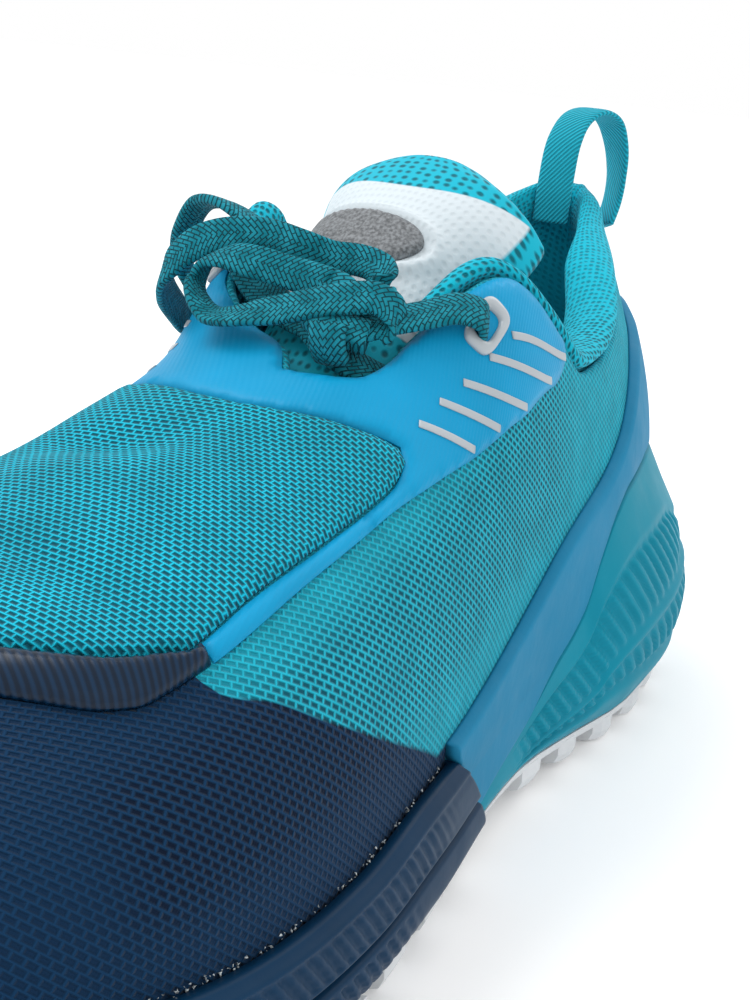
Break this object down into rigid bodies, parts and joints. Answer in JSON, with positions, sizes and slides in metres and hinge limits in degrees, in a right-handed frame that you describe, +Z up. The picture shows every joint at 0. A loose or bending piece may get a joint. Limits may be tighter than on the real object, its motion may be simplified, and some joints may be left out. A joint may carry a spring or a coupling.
{
  "type": "trail running shoe",
  "caption": "Left trail running shoe with a knitted mesh upper, film overlays, padded collar and tongue, flared foam sole and a lugged tread.",
  "frame": {"origin": "on the floor under the middle of the shoe's length and width", "axes": "+X from heel to toe, +Y to the outer (lateral) side of this left shoe, +Z up"},
  "size_m": [0.2823, 0.1042, 0.1242],
  "materials": {
    "tread_rubber": "matte white rubber",
    "heel_foam": "matte teal foam",
    "forefoot_foam": "satin navy foam",
    "upper_mesh": "open sport mesh, teal with a navy toe",
    "liner_fabric": "brushed lining cloth",
    "tongue_film": "white dimpled film over foam, teal knit border",
    "badge_plastic": "grained grey, plain",
    "vamp_film": "satin cyan film with fine ribs",
    "window_mesh": "coarse turquoise mesh",
    "toe_band_rubber": "glossy navy, finely ribbed",
    "heel_band_rubber": "matte steel-blue, moulded",
    "collar_knit": "padded knit with small openings",
    "webbing": "woven webbing",
    "eyelet_plastic": "silver grey, satin",
    "lace_braid": "flat braided lace"
  },
  "bodies": {
    "root": {"outsole": "tread_rubber", "midsole_heel": "heel_foam", "midsole_forefoot": "forefoot_foam", "upper": "upper_mesh", "insole": "liner_fabric", "tongue": "tongue_film", "tongue_badge": "badge_plastic", "vamp_film": "vamp_film", "vamp_window": "window_mesh", "vamp_front_band": "toe_band_rubber", "heel_band": "heel_band_rubber", "collar": "collar_knit", "pull_loop": "webbing", "eyelet_lateral": "eyelet_plastic", "eyelet_medial": "eyelet_plastic", "lace_crossings": "lace_braid", "lace_knot": "lace_braid", "lace_loop_outer": "lace_braid", "lace_loop_inner": "lace_braid"}
  },
  "joints": []
}
